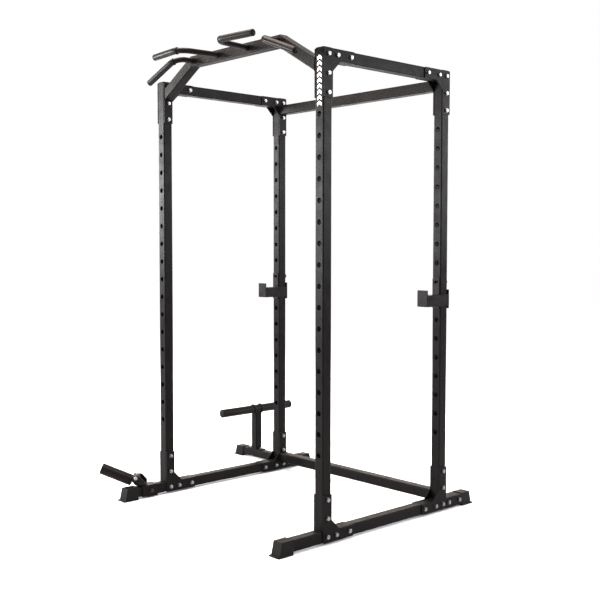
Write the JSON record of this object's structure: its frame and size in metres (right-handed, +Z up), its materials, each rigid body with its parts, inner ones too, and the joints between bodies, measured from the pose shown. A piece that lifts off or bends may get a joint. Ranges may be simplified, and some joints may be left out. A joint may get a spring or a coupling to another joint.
{
  "type": "power cage",
  "caption": "Free-standing bolted square-tube rack with drilled uprights, raised multi-grip pull-up beam, hinged bar hooks, a plate storage peg and a pivoting landmine socket.",
  "frame": {"origin": "centre of the footprint's bounding box, on the floor", "axes": "+X to the cage's right seen from the pull-up grips, +Y to the rear, +Z up"},
  "size_m": [1.6958, 1.44, 2.192],
  "materials": {
    "frame_paint": "satin black powder coat",
    "plastic": "moulded black plastic",
    "grip_rubber": "smooth black rubber",
    "zinc": "bright zinc plate",
    "peg_steel": "semi-gloss black powder coat"
  },
  "bodies": {
    "frame": {"upright_front_left": "frame_paint", "top_plate_front_left_outer": "frame_paint", "base_plate_front_left_outer": "frame_paint", "top_plate_front_left_inner": "frame_paint", "base_plate_front_left_inner": "frame_paint", "foot_cap_front_left": "plastic", "upright_rear_left": "frame_paint", "top_plate_rear_left_outer": "frame_paint", "base_plate_rear_left_outer": "frame_paint", "top_plate_rear_left_inner": "frame_paint", "base_plate_rear_left_inner": "frame_paint", "foot_cap_rear_left": "plastic", "top_beam_left": "frame_paint", "foot_tube_left": "frame_paint", "outer_grip_tube_left": "frame_paint", "outer_grip_sleeve_left": "grip_rubber", "inner_grip_tube_left": "frame_paint", "inner_grip_sleeve_left": "grip_rubber", "upright_front_right": "frame_paint", "top_plate_front_right_outer": "frame_paint", "base_plate_front_right_outer": "frame_paint", "top_plate_front_right_inner": "frame_paint", "base_plate_front_right_inner": "frame_paint", "foot_cap_front_right": "plastic", "upright_rear_right": "frame_paint", "top_plate_rear_right_outer": "frame_paint", "base_plate_rear_right_outer": "frame_paint", "top_plate_rear_right_inner": "frame_paint", "base_plate_rear_right_inner": "frame_paint", "foot_cap_rear_right": "plastic", "top_beam_right": "frame_paint", "foot_tube_right": "frame_paint", "outer_grip_tube_right": "frame_paint", "outer_grip_sleeve_right": "grip_rubber", "inner_grip_tube_right": "frame_paint", "inner_grip_sleeve_right": "grip_rubber", "crossmember_top_rear": "frame_paint", "crossmember_base_rear": "frame_paint", "pull_up_beam": "frame_paint", "grip_end_caps": "plastic", "upright_caps": "plastic", "plate_post_base": "frame_paint", "plate_post_foot_cap": "plastic", "plate_post": "frame_paint", "plate_peg_bar": "peg_steel", "plate_peg_collars": "frame_paint", "plate_peg_end_caps": "plastic", "frame_bolts": "zinc", "plate_post_bolts": "zinc", "frame_washers": "zinc", "frame_nuts": "zinc", "landmine_saddle": "frame_paint", "landmine_swivel_bolt": "zinc"},
    "hook_left_body": {"hook_left": "frame_paint", "hook_pin_left": "peg_steel"},
    "hook_right_body": {"hook_right": "frame_paint", "hook_pin_right": "peg_steel"},
    "landmine_swivel": {"landmine_yoke": "frame_paint", "landmine_tilt_bolt": "zinc"},
    "landmine_socket": {"landmine_sleeve": "frame_paint"}
  },
  "joints": [
    {"name": "hook_left_swing", "type": "hinge", "parent": "frame", "child": "hook_left_body", "pos_m": [-0.35545, 0.36904, 1.104], "axis": [0, -1, 0], "range_deg": [0, 90]},
    {"name": "hook_right_swing", "type": "hinge", "parent": "frame", "child": "hook_right_body", "pos_m": [0.80955, 0.36904, 1.104], "axis": [0, -1, 0], "range_deg": [0, 90]},
    {"name": "landmine_turn", "type": "hinge", "parent": "frame", "child": "landmine_swivel", "pos_m": [-0.35545, -0.55096, 0.0693], "axis": [0, 0, 1], "range_deg": [-75, 135]},
    {"name": "landmine_tilt", "type": "hinge", "parent": "landmine_swivel", "child": "landmine_socket", "pos_m": [-0.37525, -0.57076, 0.1043], "axis": [-0.7071, 0.7071, 0], "range_deg": [0, 60]}
  ]
}
